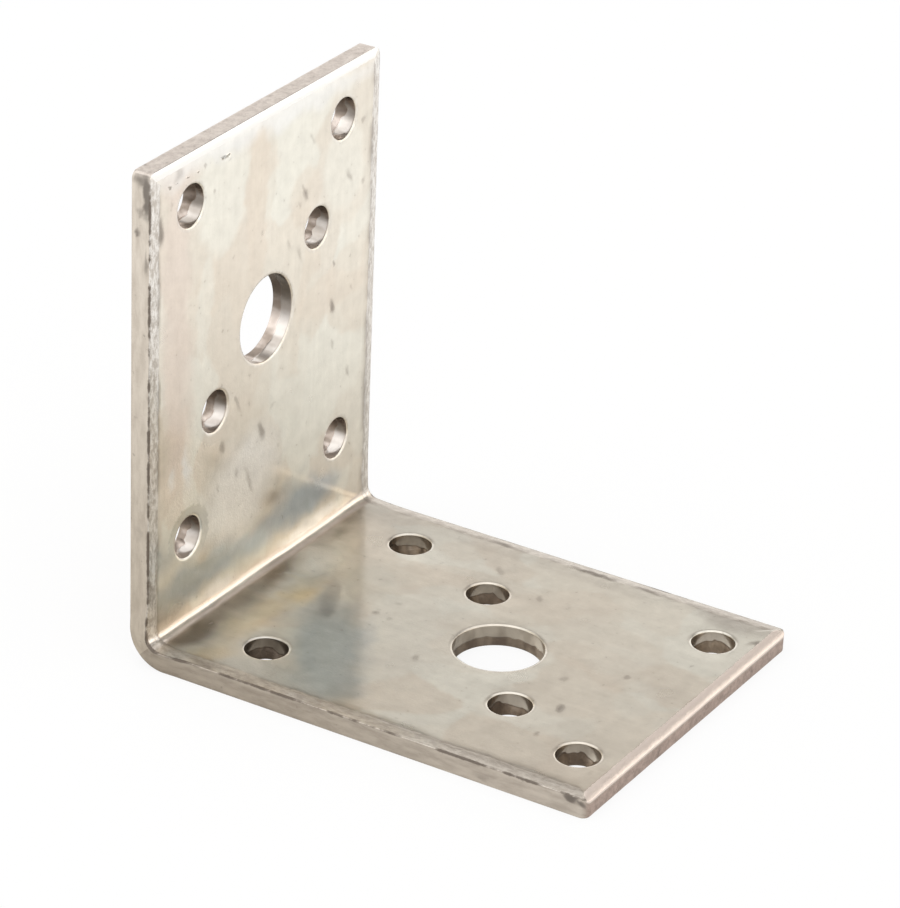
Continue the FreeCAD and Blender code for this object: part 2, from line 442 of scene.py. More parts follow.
# Dark places on the -Y side, by s, depth under the inner face, length, height, slant and strength
SIDE_SMUDGES = [
    (-57.0, 0.4, 5.4, 1.3, 0.0, 1.3),
    (-58.6, 1.3, 1.8, 2.6, 0.0, 0.8),
    (-54.6, 1.4, 1.4, 0.9, 0.0, 0.7),
    (-52.4, 1.6, 0.9, 0.6, 0.0, 1.0),
    (-55.6, 0.5, 2.6, 0.9, 0.0, 1.1),
    (-49.0, 0.4, 3.0, 0.6, 0.0, 0.8),
    (-16.5, 1.3, 3.0, 1.0, 0.0, 0.4),
    (46.0, 1.6, 1.8, 0.9, 0.0, 0.5),
    (56.6, 0.5, 1.8, 1.0, 0.3, 1.2),
    (57.9, 0.6, 0.7, 0.7, 0.0, 1.0),
]

# Stretches of the -Y edge, from s to s, where the crack along it is deep and black with grime and painted
# shade
DEEP_CRACKS = [
    (-57.5, -49.5),
    (-46.5, -42.0),
    (-33.0, -23.0),
    (-17.0, -8.0),
    (-6.5, 9.0),
    (12.0, 21.5),
    (26.0, 30.0),
    (42.5, 46.0),
    (48.0, 52.8),
    (55.5, 57.6),
]


def clamp(x, low=0.0, high=1.0):
    return min(max(x, low), high)


def smooth(start, end, x):
    t = clamp((x - start) / (end - start))
    return t * t * (3 - 2 * t)


def rough(seed, *place):
    """Smooth noise from about -1 to 1 at a place of one to three numbers."""
    place = list(place) + [0.0] * (3 - len(place))
    return noise.noise(Vector(place) + Vector((seed * 17.3, seed * 5.1, seed * 11.7)))


def chance(*numbers):
    """An even random number from 0 to 1 that belongs to a few numbers."""
    mixed = sum(number * factor for number, factor in zip(numbers, (127.1, 311.7, 74.7)))
    value = math.sin(mixed) * 43758.5
    return value - math.floor(value)


def blend(first, second, share):
    return tuple(a + (b - a) * share for a, b in zip(first, second))


def crystal(seed, s, y, size):
    """A random level from 0 to 1 for each crystal, softly joined at their borders."""
    i, j = math.floor(s / size), math.floor(y / size)
    near = []
    for a in (i - 1, i, i + 1):
        for b in (j - 1, j, j + 1):
            middle_s = a + 0.5 + MIDDLE_STRAY * (chance(a, b, seed) - 0.5)
            middle_y = b + 0.5 + MIDDLE_STRAY * (chance(a, b, seed + 1) - 0.5)
            near.append((math.hypot(s / size - middle_s, y / size - middle_y), chance(a, b, seed + 2)))
    near.sort()
    (first, level), (second, other) = near[:2]
    share = smooth(0.0, CRYSTAL_JOIN, second - first)
    return other + (level - other) * (0.5 + 0.5 * share)


def cover(mark, softness, s, y):
    """How strongly a mark covers a place."""
    mark_s, mark_y, length, width, slant, strength = mark
    ahead, aside = s - mark_s, y - mark_y
    if abs(ahead) + abs(aside) > length + width:
        return 0.0
    cos, sin = math.cos(slant), math.sin(slant)
    along = (ahead * cos + aside * sin) * 2 / length
    across = (aside * cos - ahead * sin) * 2 / width
    return strength * smooth(1 + softness, 1 - softness, math.hypot(along, across))


def strayed(seed, s, y, waves):
    """The place moved by waves of noise, which makes outlines uneven."""
    for i, (length, reach) in enumerate(waves):
        place = (s / length, y / length)
        s, y = s + reach * rough(seed + 2 * i, *place), y + reach * rough(seed + 2 * i + 1, *place)
    return s, y


def tint(s, y, deep):
    """The coating's colour at a place, with painted shade, highlights and reflections in some of its
    patches.
    """
    outside = deep > THICKNESS / 2
    seed = 300 if outside else 340
    wide_s, wide_y = strayed(seed, s, y, CRYSTAL_WAVES)
    level = smooth(0.2, 0.8, crystal(seed + 4, wide_s / CRYSTAL_STRETCH, wide_y, CRYSTAL))
    tone = blend(CREAM, PALE, level)
    warmth = crystal(seed + 8, wide_s / CRYSTAL_STRETCH + 3, wide_y, CRYSTAL)
    tone = blend(tone, BEIGE, 0.6 * smooth(0.4, 0.95, warmth))
    tone = blend(tone, GREY_GREEN, 0.08 * crystal(seed + 12, wide_s, wide_y, FLECK) ** 2)
    if outside:
        return tone
    near_s, near_y = strayed(seed + 20, s, y, PATCH_WAVES)
    for colour, softness, marks in PATCHES:
        for mark in marks:
            share = cover(mark, softness, near_s, near_y)
            if share:
                tone = blend(tone, colour, share)
    return tone


def smudge_and_shade(s, y, deep, near_side):
    """How dark the dirt is at a place, with painted shade along the base's +Y shoulder."""
    if near_side:
        place = strayed(372, s, deep, SIDE_SMUDGE_WAVES)
        return max(cover(mark, SIDE_SMUDGE_SOFTNESS, *place) for mark in SIDE_SMUDGES)
    if deep > 0:
        return 0.0
    place = strayed(370, s, y, FACE_MARK_WAVES)
    return max(cover(mark, FACE_MARK_SOFTNESS, *place) for mark in SMUDGES_AND_EDGE_SHADE)


def dullness(s, y, deep):
    """How matt the coating is at a place."""
    if deep > 0:
        return 0.0
    place = strayed(374, s, y, DULL_WAVES)
    return max(cover(mark, DULL_SOFTNESS, *place) for mark in DULL)


def surface(s, offset, radius):
    """Point (x, z), tangent along s and normal into the angle, on a face offset from the outer one."""
    centre = offset + radius
    if s >= centre:
        return Vector((s, offset)), Vector((1, 0)), Vector((0, 1))
    if s <= -centre:
        return Vector((offset, -s)), Vector((0, -1)), Vector((1, 0))
    turn = (centre - s) / (2 * centre) * math.pi / 2
    sin, cos = math.sin(turn), math.cos(turn)
    return Vector((centre - radius * sin, centre - radius * cos)), Vector((cos, -sin)), Vector((sin, cos))


def inner_surface(s):
    return surface(s, THICKNESS, INNER_RADIUS)


def outer_surface(s):
    return surface(s, 0.0, OUTER_RADIUS)


def leg_end(s):
    """How far the end of the leg that s is on lies from the heel."""
    return BASE_LENGTH if s > 0 else UPRIGHT_LENGTH


def skewed(s, y):
    """The place moved with the upright leg's slightly slanted end."""
    from_end, whole = SKEW_FADE
    share = smooth(UPRIGHT_LENGTH - from_end, UPRIGHT_LENGTH - whole, -s)
    return s - END_SKEW * share * y / (2 * HALF_WIDTH), y


def roll(width, drop, distance, power=ROLL_POWER):
    """Depth of a shoulder at a distance from its edge."""
    return drop * clamp((width - distance) / width) ** power


def varied(width, waves, seed, along):
    """A width that waves of noise make uneven."""
    share = 1.0
    for i, (amount, length) in enumerate(waves):
        share += amount * rough(seed + 3 * i, along / length)
    return width * share


def side_roll_width(s, y):
    return varied(SIDE_ROLL[0], SIDE_ROLL_WAVES, 2 if y > 0 else 0, s)


def end_roll(s):
    return BASE_END_ROLL if s > 0 else UPRIGHT_END_ROLL


def end_roll_width(s, y):
    return varied(end_roll(s)[0], END_ROLL_WAVES, 8 if s > 0 else 6, y)


def bow(s, y):
    """How far the inner face still leans into the angle near the fold."""
    bend = THICKNESS + INNER_RADIUS
    upright = smooth(*BOW_MIDDLE_FADE, abs(y - BOW_MIDDLE)) * smooth(*BOW_SIDE_FADE, abs(y))
    base = BOW_BASE_LEFT + (1 - BOW_BASE_LEFT) * smooth(*BOW_BASE_FADE, y)
    full = upright + (base - upright) * smooth(-bend, bend, s)
    reach = BOW_REACH + BOW_UNEVEN * rough(25, y / 2)
    share = clamp((reach - abs(s)) / (reach - bend))
    return BOW * (1 - BOW_WEAKER * (1 - full)) * share**BOW_POWER


def inner_depth(s, y, holes):
    """How far the inner face lies under its nominal plane."""
    side = roll(side_roll_width(s, y), SIDE_ROLL[1], HALF_WIDTH - abs(y), SIDE_ROLL_POWER)
    end = roll(end_roll_width(s, y), end_roll(s)[1], leg_end(s) - abs(s))
    edges = (side**CORNER_POWER + end**CORNER_POWER) ** (1 / CORNER_POWER)
    waves = 0.0
    for i, (deep, along, across) in enumerate(WAVES):
        waves += deep * rough(20 + i, s / along, y / across)
    punched = 0.0
    for centre_s, centre_y, radius in holes:
        distance = math.hypot(s - centre_s, y - centre_y) - radius
        if distance < HOLE_DISH[0]:
            punched += roll(*HOLE_ROLL, distance) + roll(*HOLE_DISH, distance)
    return edges + waves + punched + peel(s, y) - bow(s, y)


def peel(s, y):
    """Slanting tears in the coating on the upright leg's -Y shoulder."""
    if s > 0 or y > -HALF_WIDTH + PEEL_WIDTH:
        return 0.0
    share = smooth(PEEL_WIDTH, 0.5 * PEEL_WIDTH, HALF_WIDTH + y)
    patchy = clamp(0.4 + 0.9 * rough(37, s / 6))
    return PEEL * share * patchy * rough(38, (s - 1.3 * y) / 0.7, (y + 0.4 * s) / 1.6)


def bulge(point, y):
    """How far the fold squeezes the side out at a point (x, z) of it."""
    centre = THICKNESS + INNER_RADIUS
    distance = math.hypot(point.x - centre, point.y - centre) - INNER_RADIUS
    share = clamp(1 - distance / BULGE_REACH)
    most = NEAR_BULGE if y < 0 else FAR_BULGE
    return most * share


def outline_points():
    """The plate's outline as functions of inset: each gives the place (s, y) and its outward direction."""
    def corner(sign_s, sign_y, share):
        def at(inset):
            radius = max(CORNER_RADIUS - inset, 0.2)
            s_centre = sign_s * (leg_end(sign_s) - inset - radius)
            y_centre = sign_y * (HALF_WIDTH - inset - radius)
            turn = share * math.pi / 2
            out = (sign_s * math.cos(turn), sign_y * math.sin(turn))
            return (s_centre + radius * out[0], y_centre + radius * out[1]), out
        return at

    def straight(first, last, out, share):
        def at(inset):
            (s0, y0), _ = first(inset)
            (s1, y1), _ = last(inset)
            return (s0 + (s1 - s0) * share, y0 + (y1 - y0) * share), out
        return at

    corners = []
    for sign_s, sign_y, from_end in ((1, -1, False), (1, 1, True), (-1, 1, False), (-1, -1, True)):
        shares = [i / CORNER_STEPS for i in range(CORNER_STEPS + 1)]
        if not from_end:
            shares.reverse()
        corners.append([corner(sign_s, sign_y, share) for share in shares])
    outline = []
    outs = [(1, 0), (0, 1), (-1, 0), (0, -1)]
    for i, points in enumerate(corners):
        outline += points
        first, last = points[-1], corners[(i + 1) % 4][0]
        (s0, y0), _ = first(0)
        (s1, y1), _ = last(0)
        count = round(math.hypot(s1 - s0, y1 - y0) / EDGE_STEP)
        outline += [straight(first, last, outs[i], k / count) for k in range(1, count)]
    return outline


class Mesh:
    """Points with the marks that the finish reads, and faces, gathered until the mesh is written."""

    MARKS = ["shoulder", "lip", "sheared", "end", "burnished", "torn"]
    MARKS += ["crack", "groove", "smudge_and_shade", "soot", "dull"]

    def __init__(self):
        self.points = []
        self.places = []
        self.marks = {name: [] for name in self.MARKS}
        self.faces = []

    def add(self, point, place, near_side=False, **marks):
        self.points.append(point)
        self.places.append(place)
        marks["smudge_and_shade"] = smudge_and_shade(*place, near_side)
        marks["dull"] = dullness(*place)
        for name in self.MARKS:
            self.marks[name].append(marks.get(name, 0.0))
        return len(self.points) - 1

    def band(self, rows, flip=False):
        """Quads between closed rows of equal length."""
        for above, below in zip(rows, rows[1:]):
            count = len(above)
            for i in range(count):
                k = (i + 1) % count
                face = (above[i], below[i], below[k], above[k])
                self.faces.append(face[::-1] if flip else face)

    def write(self, name):
        data = bpy.data.meshes.new(name)
        data.from_pydata([p * MM for p in self.points], [], self.faces)
        for mark, values in self.marks.items():
            data.attributes.new(mark, "FLOAT", "POINT").data.foreach_set("value", values)
        for layer, vectors in (("plate", self.places), ("tint", [tint(*place) for place in self.places])):
            flat = [part for vector in vectors for part in vector]
            data.attributes.new(layer, "FLOAT_VECTOR", "POINT").data.foreach_set("vector", flat)
        data.polygons.foreach_set("use_smooth", [True] * len(data.polygons))
        obj = bpy.data.objects.new(name, data)
        bpy.context.scene.collection.objects.link(obj)
        return obj


def in_frame(point, y):
    """The point (x, z) counted from the heel, at y, as it lies in the shared frame."""
    return Vector((HEEL_X + point.x, y, point.y))


def hole_list():
    """Centre (s, y) and radius of every hole."""
    holes = []
    for leg in (1, -1):
        holes.append((leg * BOLT_ROW, 0.0, BOLT_RADIUS))
        for side in (1, -1):
            for row in (FIRST_ROW, FIRST_ROW + CORNER_ALONG):
                holes.append((leg * row, side * CORNER_ACROSS / 2, NAIL_RADIUS))
            pair_row = BOLT_ROW - leg * side * PAIR_ALONG / 2
            holes.append((leg * pair_row, side * PAIR_ACROSS / 2, NAIL_RADIUS))
    return holes


def edge_rows(mesh, outline, holes):
    """Rows from the inner sheet over the shoulder, down the sheared side and onto the outer face."""
    rows = [[shoulder_point(mesh, at, share, holes) for at in outline] for share in [None] + SHOULDER_ROWS]
    rows += [[side_point(mesh, at, share, holes) for at in outline] for share in SIDE_ROWS]
    rows += [[outer_edge_point(mesh, at, inset) for at in outline] for inset in OUTER_ROWS]
    mesh.band(rows)
    return rows[0], rows[-1]


def shoulder_point(mesh, at, share, holes):
    """A point a share of the shoulder's width in from the outline, or on the inner sheet's own edge."""
    place, out = at(0.0)
    wide = side_roll_width(*place) * out[1] ** 2 + end_roll_width(*place) * out[0] ** 2
    inset = SHEET_INSET if share is None else share * wide
    place, _ = at(inset)
    s, y = skewed(*place)
    point, _, normal = inner_surface(s)
    groove = groove_mark(s, y, share, out) * out[1] ** 2
    depth = inner_depth(s, y, holes) + GROOVE_DEPTH * groove
    shift = bulge(point, y) * abs(out[1]) * clamp(1 - inset / SIDE_ROLL[0]) ** 2
    point = point - normal * depth
    worn = smooth(1.03, 0.95, inset / wide)
    lip = smooth(1.15, 0.75, inset / BASE_END_ROLL[0])
    marks = {"shoulder": worn * out[1] ** 2, "lip": lip * out[0] ** 2, "groove": groove}
    marks["crack"] = crack_mark(s, y, out) * smooth(0.4, 0.12, inset)
    return mesh.add(in_frame(point, y + math.copysign(shift, y)), (s, y, 0.0), **marks)


def side_point(mesh, at, share, holes):
    """A point a share of the thickness down the sheared side."""
    place, out = at(0.0)
    s, y = skewed(*place)
    top, tangent, normal = inner_surface(s)
    top = top - normal * inner_depth(s, y, holes)
    low, low_tangent, _ = outer_surface(s)
    point = top.lerp(low, share)
    tangent = tangent.lerp(low_tangent, share)
    deep = share * THICKNESS
    along = s if abs(out[1]) > 0.5 else y
    crack = crack_mark(s, y, out)
    crack *= smooth(0.2 + 0.16 * crack, 0.03, abs(deep - 0.03 * rough(30, along / 2.5)))
    short = rough(33, along / 0.5, deep / 1.2, out[1])
    long = rough(34, along / 3, deep / 2, out[1])
    inward = CRACK_DEPTH * crack + SIDE_INSET + (SIDE_GRAIN * short + SIDE_GRAIN * long)
    edge = smooth(0.94, 1.0, share) * LOWER_EDGE[1]
    shift = bulge(point, y) * abs(out[1])
    point = point - tangent * out[0] * (inward + edge)
    moved = y + out[1] * (shift - inward - edge)
    lip = out[0] ** 2 * smooth(0.16, 0.04, share) if s > 0 else 0.0
    marks = {"sheared": 1 - lip, "lip": lip, "end": out[0] ** 2 * (1 - lip), "crack": crack}
    return mesh.add(in_frame(point, moved), (s, y, deep), near_side=out[1] < -0.7, **marks)


def outer_edge_point(mesh, at, inset):
    """A point on the outer face, an inset from its rounded edge."""
    place, _ = at(inset)
    s, y = skewed(*place)
    point, _, normal = outer_surface(s)
    point = point + normal * roll(*LOWER_EDGE, inset)
    return mesh.add(in_frame(point, y), (s, y, THICKNESS), sheared=smooth(0.2, 0.05, inset))


def groove_mark(s, y, share, out):
    """The ragged groove where a side shoulder begins, darkened in colour as painted shade. It is broader
    along the +Y side.
    """
    if share is None:
        return 0.0
    near = smooth(0.5 if out[1] > 0 else 0.24, 0.02, abs(share - 1.0))
    patchy = clamp(0.6 + 0.9 * rough(35, s / 5, y / 20) + 0.5 * rough(36, s / 1.1, y / 20))
    return near * patchy


def crack_mark(s, y, out):
    """The broken line where the shoulder ends and the sheared side begins, dark with grime and painted
    shade.
    """
    along = s if abs(out[1]) > 0.5 else y
    broken = 0.8 * rough(31, along / 3.2, out[0] * 3) + 0.6 * rough(32, along / 0.7, out[1] * 3)
    if out[1] < -0.7:
        stretches = (smooth(a - 0.6, a + 0.4, s) * smooth(b + 0.6, b - 0.4, s) for a, b in DEEP_CRACKS)
        return clamp((CRACK_BASE if s > 0 else CRACK_UPRIGHT) + CRACK_DEEPER * max(stretches) + broken)
    shown = CRACK_FAR_SHARE if s > 0 and abs(out[1]) > 0.7 else CRACK_FAINT_SHARE
    return clamp(CRACK_ELSEWHERE + broken) * shown


def hole_rows(mesh, hole, holes, number):
    """Rows round one hole, from the inner sheet down its wall to the outer face."""
    centre_s, centre_y, radius = hole
    count = round(2 * math.pi * radius / HOLE_STEP)
    turns = [2 * math.pi * i / count for i in range(count)]
    _, _, normal = inner_surface(centre_s)
    on_base = centre_s > 0
    for_nail = radius == NAIL_RADIUS
    wide = radius / NAIL_RADIUS
    closing = (NAIL_EXIT if for_nail else BOLT_EXIT) - radius

    def place(margin, turn):
        return centre_s + (radius + margin) * math.cos(turn), centre_y + (radius + margin) * math.sin(turn)

    def at(margin, turn, deep, **marks):
        s, y = place(margin, turn)
        point, _, _ = inner_surface(s)
        return mesh.add(in_frame(point - normal * deep, y), (s, y, deep), **marks)

    def tear_depth(turn):
        """Where the burnished wall ends and the torn one begins."""
        x, y = math.cos(turn), math.sin(turn)
        aslant = -math.cos(turn - TEAR_SIDE) if for_nail else 0.0
        low = rough(40 + number, 1.1 * x, 1.1 * y)
        step = smooth(-0.12, 0.12, rough(150 + number, 2.2 * wide * x, 2.2 * wide * y)) - 0.5
        fine = rough(60 + number, 7 * wide * x, 7 * wide * y)
        ragged = 1.0 if for_nail else 0.4
        uneven = ragged * (0.14 * low + 0.14 * step + 0.04 * fine)
        return THICKNESS * clamp(TEAR + TEAR_SLANT * aslant + uneven, *TEAR_LIMITS)

    def soot(turn):
        """How much painted shade darkens the wall: on the upright its upper +Y part, on the base its part
        toward the fold.
        """
        if on_base:
            if centre_s == FIRST_ROW and centre_y < 0:
                return SHADED_NAIL_HOLE
            side, strength = BORE_SHADE_BASE
            return strength * smooth(0.0, 0.8, math.cos(turn - side))
        side, strength = BORE_SHADE_UPRIGHT
        stray = 0.3 * rough(170 + number, 3 * math.cos(turn), 3 * math.sin(turn))
        return strength * smooth(0.0, 0.9, math.cos(turn - side) + stray)

    rows = []
    for margin in RIM_ROWS:
        mark = smooth(0.5, 0.35, margin) * (0.4 if on_base else 0.3)
        row = []
        for turn in turns:
            s, y = place(margin, turn)
            row.append(at(margin, turn, inner_depth(s, y, holes), shoulder=mark))
        rows.append(row)
    rim = HOLE_ROLL[1] + HOLE_DISH[1]
    for share in BURNISHED_ROWS:
        row = []
        for turn in turns:
            deep = rim + (tear_depth(turn) - rim) * share
            score = 0.008 * rough(80 + number, 9 * wide * math.cos(turn), 9 * wide * math.sin(turn))
            row.append(at(score, turn, deep, burnished=1.0, soot=soot(turn)))
        rows.append(row)
    for share in TORN_ROWS:
        row = []
        for turn in turns:
            start = tear_depth(turn)
            deep = start + (THICKNESS - start) * share
            x, y = math.cos(turn) * radius, math.sin(turn) * radius
            grain = TORN_COARSE * rough(100 + number, x / 0.7, y / 0.7, deep / 0.5)
            grain += TORN_FINE * rough(120 + number, x / 0.3, y / 0.3, deep / 0.25)
            margin = TORN_INSET + (closing - TORN_INSET) * share
            margin += grain * smooth(0, 0.15, share) * smooth(1, 0.9, share)
            row.append(at(margin, turn, deep, torn=1.0, soot=soot(turn)))
        rows.append(row)
    for margin in [closing + TORN_INSET] + OUTER_HOLE_ROWS:
        rows.append([at(margin, turn, THICKNESS, torn=smooth(0.2, 0.05, margin)) for turn in turns])
    mesh.band(rows, flip=True)
    return rows[0], rows[-1]


def sheet(mesh, border, rings, grid, make, flip):
    """Fills a face between its outer row and the rings round the holes with even triangles."""
    loops = [border] + rings
    known = [index for loop in loops for index in loop]
    flat = [Vector(mesh.places[i][:2]) for i in known]
    edges = []
    start = 0
    for loop in loops:
        count = len(loop)
        edges += [(start + i, start + (i + 1) % count) for i in range(count)]
        start += count
    centres = []
    for ring in rings:
        points = [Vector(mesh.places[i][:2]) for i in ring]
        middle = sum(points, Vector((0, 0))) / len(points)
        centres.append((middle, (points[0] - middle).length))
    ends = [min(p.x for p in flat), max(p.x for p in flat)]
    half = max(p.y for p in flat)
    clear = GRID_CLEAR * grid
    stray = GRID_STRAY * grid
    rows = int((ends[1] - ends[0]) / (grid * GRID_ROW))
    extra = []
    for r in range(1, rows):
        s = ends[0] + r * (ends[1] - ends[0]) / rows
        columns = int(2 * half / grid)
        for c in range(columns + 1):
            y = -half + (c + (0.5 if r % 2 else 0.0)) * grid
            if abs(y) > half - clear or not ends[0] + clear < s < ends[1] - clear:
                continue
            place = Vector((s + stray * rough(140, s, y), y + stray * rough(141, s, y)))
            if all((place - middle).length > size + clear for middle, size in centres):
                extra.append(place)
    points, _, faces, origin, _, _ = delaunay_2d_cdt(flat + extra, edges, [], 1, 1e-6)
    index = []
    for i, point in enumerate(points):
        first = origin[i][0] if origin[i] else None
        if first is not None and first < len(known):
            index.append(known[first])
        else:
            index.append(make(point.x, point.y))
    for face in faces:
        middle = sum((points[i] for i in face), Vector((0, 0))) / len(face)
        if any((middle - centre).length < size * 0.995 for centre, size in centres):
            continue
        face = tuple(index[i] for i in face)
        mesh.faces.append(face[::-1] if flip else face)


def bracket():
    """The whole plate as one closed mesh."""
    mesh = Mesh()
    holes = hole_list()
    inner_border, outer_border = edge_rows(mesh, outline_points(), holes)
    rings = [hole_rows(mesh, hole, holes, number) for number, hole in enumerate(holes)]

    def inner_point(s, y):
        point, _, normal = inner_surface(s)
        return mesh.add(in_frame(point - normal * inner_depth(s, y, holes), y), (s, y, 0.0))

    def outer_point(s, y):
        point, _, normal = outer_surface(s)
        return mesh.add(in_frame(point, y), (s, y, THICKNESS))

    sheet(mesh, inner_border, [ring[0] for ring in rings], INNER_GRID, inner_point, flip=False)
    sheet(mesh, outer_border, [ring[1] for ring in rings], OUTER_GRID, outer_point, flip=True)
    return mesh.write("bracket")


class Nodes:
    """Short ways to add and join shader nodes."""

    def __init__(self, owner):
        owner.use_nodes = True
        self.tree = owner.node_tree
        self.tree.nodes.clear()

    def set(self, socket, value):
        if isinstance(value, bpy.types.NodeSocket):
            self.tree.links.new(value, socket)
        else:
            socket.default_value = value

    def add(self, kind, inputs=(), **settings):
        node = self.tree.nodes.new("ShaderNode" + kind)
        for key, value in settings.items():
            setattr(node, key, value)
        for key, value in dict(inputs).items():
            self.set(node.inputs[key], value)
        return node

    def mark(self, name):
        return self.add("Attribute", attribute_name=name).outputs["Fac"]

    def math(self, operation, *values):
        return self.add("Math", dict(enumerate(values)), operation=operation).outputs["Value"]

    def most(self, *values):
        """The largest of the values."""
        largest, *others = values
        for value in others:
            largest = self.math("MAXIMUM", largest, value)
        return largest

    def strayed(self, value, pattern, amount):
        """The value, moved either way by an amount of the pattern."""
        return self.math("MULTIPLY_ADD", self.math("SUBTRACT", pattern, 0.5), amount, value)

    def spread(self, value, start, end, low=0.0, high=1.0):
        """The value's range from start to end, smoothly, as low to high."""
        inputs = {"Value": value, "From Min": start, "From Max": end, "To Min": low, "To Max": high}
        return self.add("MapRange", inputs, interpolation_type="SMOOTHSTEP").outputs["Result"]

    def mix(self, share, first, second):
        """The first colour where the share is 0 and the second where it is 1."""
        node = self.add("Mix", data_type="RGBA")
        self.set(node.inputs[0], share)
        for socket, colour in ((node.inputs[6], first), (node.inputs[7], second)):
            self.set(socket, (*colour, 1) if isinstance(colour, tuple) else colour)
        return node.outputs[2]

    def noise(self, place, scale, detail=2.0, roughness=0.5):
        inputs = {"Vector": place, "Scale": scale, "Detail": detail, "Roughness": roughness}
        return self.add("TexNoise", inputs).outputs["Fac"]

    def stretched(self, place, along, across, through=1.0):
        inputs = {"Vector": place, "Scale": (along, across, through)}
        return self.add("Mapping", inputs).outputs["Vector"]

    def ramp(self, value, stops):
        """Colours or grey levels at rising values, joined smoothly."""
        node = self.add("ValToRGB", {"Fac": value})
        points = node.color_ramp.elements
        while len(points) < len(stops):
            points.new(1.0)
        for point, (position, colour) in zip(points, stops):
            point.position = position
            point.color = (*colour, 1) if isinstance(colour, tuple) else (colour, colour, colour, 1)
        return node.outputs["Color"]


def material(name):
    """A new material and its nodes."""
    made = bpy.data.materials.new(name)
    return made, Nodes(made)


def zinc():
    """The zinc coating on the faces, and worn and dirty metal on the shoulders, sides, ends and bores.
    Painted shade darkens the cracks, grooves and bores, and the legs' worn metal is lighter on the upright
    as painted light and darker on the base as painted shade.
    """
    made, n = material("zinc")
    place = n.add("Attribute", attribute_name="plate").outputs["Vector"]
    coating = n.add("Attribute", attribute_name="tint").outputs["Vector"]
    upright = n.math("LESS_THAN", n.add("SeparateXYZ", {0: place}).outputs["X"], 0.0)

    def by_leg(colours, base_share, upright_share):
        """Two colours mixed on the base, and two others on the upright; on the sides, ends and bores the
        base's are darker as painted shade and the upright's lighter as painted light.
        """
        mixed = [n.mix(share, *pair) for share, pair in zip((base_share, upright_share), colours)]
        return n.mix(upright, *mixed)

    # The coating, drawn out by rolling, with fine mottling, a little darker on the base leg as painted shade
    rolled = n.noise(n.stretched(place, 0.05, 1.3, 0.3), 1.0, 3.0, 0.65)
    fine_rolled = n.noise(n.stretched(place, 0.16, 4.0, 0.5), 1.0, 2.0, 0.6)
    mottle = n.noise(place, 0.55, 4.0, 0.65)
    shade = n.math("MULTIPLY_ADD", rolled, 0.14, n.spread(upright, 0.0, 1.0, 0.90, 0.93))
    shade = n.strayed(shade, fine_rolled, 0.04)
    shade = n.strayed(shade, mottle, -0.30)
    face = n.add("VectorMath", {0: coating, 3: shade}, operation="SCALE").outputs["Vector"]

    # Dirt and specks, with painted shade along the base's +Y shoulder, and grime with painted shade in the
    # cracks and grooves
    speck = n.math("MULTIPLY", n.spread(n.noise(place, 1.1, 2.0, 0.5), 0.68, 0.76), 0.3)
    dirt_and_shade = n.most(n.spread(n.strayed(n.mark("smudge_and_shade"), mottle, 0.6), 0.12, 1.2, 0.0, 0.8), speck)
    grit = n.noise(place, 3.0, 3.0, 0.7)
    cracked = n.spread(n.strayed(n.mark("crack"), grit, 0.9), 0.15, 0.8)
    grime_and_shade = n.most(cracked, n.math("MULTIPLY", n.mark("groove"), 0.5))

    # Scratched shoulders and polished lips
    scratched = n.spread(n.noise(n.stretched(place, 0.8, 2.2, 1.0), 1.0, 4.0, 0.75), 0.4, 0.6)
    end_wear = n.noise(place, 1.1, 4.0, 0.75)
    lip = n.spread(n.strayed(n.mark("lip"), end_wear, 1.4), 0.42, 0.58)
    shoulder = by_leg(SHOULDER_COLOURS, scratched, scratched)
    colour = n.mix(n.math("MULTIPLY", n.mark("shoulder"), 0.8), face, shoulder)
    colour = n.mix(dirt_and_shade, colour, DIRT_AND_SHADE)
    colour = n.mix(lip, colour, n.mix(upright, *LIP_COLOURS))

    # Sheared sides and ends, darker on the base as painted shade and lighter on the upright as painted light
    side_wear = n.spread(n.noise(n.stretched(place, 0.3, 0.3, 1.2), 1.0, 4.0, 0.65), 0.3, 0.75)
    end_share = n.spread(end_wear, 0.3, 0.7)
    side = by_leg(SIDE_COLOURS_SHADED_AND_LIT, side_wear, side_wear)
    end = by_leg(END_COLOURS_SHADED_AND_LIT, end_share, end_share)
    colour = n.mix(n.mark("sheared"), colour, n.mix(n.mark("end"), side, end))
    colour = n.mix(n.math("MULTIPLY", n.mark("sheared"), dirt_and_shade), colour, SIDE_DIRT)

    # Bores, with marks drawn down their walls by the punch, darker on the base as painted shade and lighter
    # on the upright as painted light, and painted shade on one side of each
    drawn = n.noise(n.stretched(place, 0.5, 0.5, 0.2), 1.0, 2.0, 0.55)
    burnished = n.spread(drawn, 0.4, 0.65)
    bore = by_leg(BORE_COLOURS_SHADED_AND_LIT, burnished, burnished)
    torn = by_leg(TORN_COLOURS_SHADED_AND_LIT, n.spread(drawn, 0.38, 0.6), n.spread(drawn, 0.4, 0.62))
    colour = n.mix(n.mark("burnished"), colour, bore)
    colour = n.mix(n.mark("torn"), colour, torn)
    colour = n.mix(n.mark("soot"), colour, BORE_SHADE)
    colour = n.mix(grime_and_shade, colour, GRIME_AND_SHADE)

    # How much of the reflection is hazy
    hazy = n.most(
        n.spread(n.noise(place, 0.12, 2.0, 0.5), 0.3, 0.7, 0.25, 0.5),
        grime_and_shade,
        dirt_and_shade,
        n.mark("end"),
        n.mark("dull"),
        n.math("MULTIPLY", n.mark("torn"), 0.9),
        n.math("MULTIPLY", n.mark("sheared"), 0.7),
        n.math("MULTIPLY", n.mark("shoulder"), 0.6),
        n.math("MULTIPLY", lip, n.spread(upright, 0.0, 1.0, 0.85, 0.4)),
    )

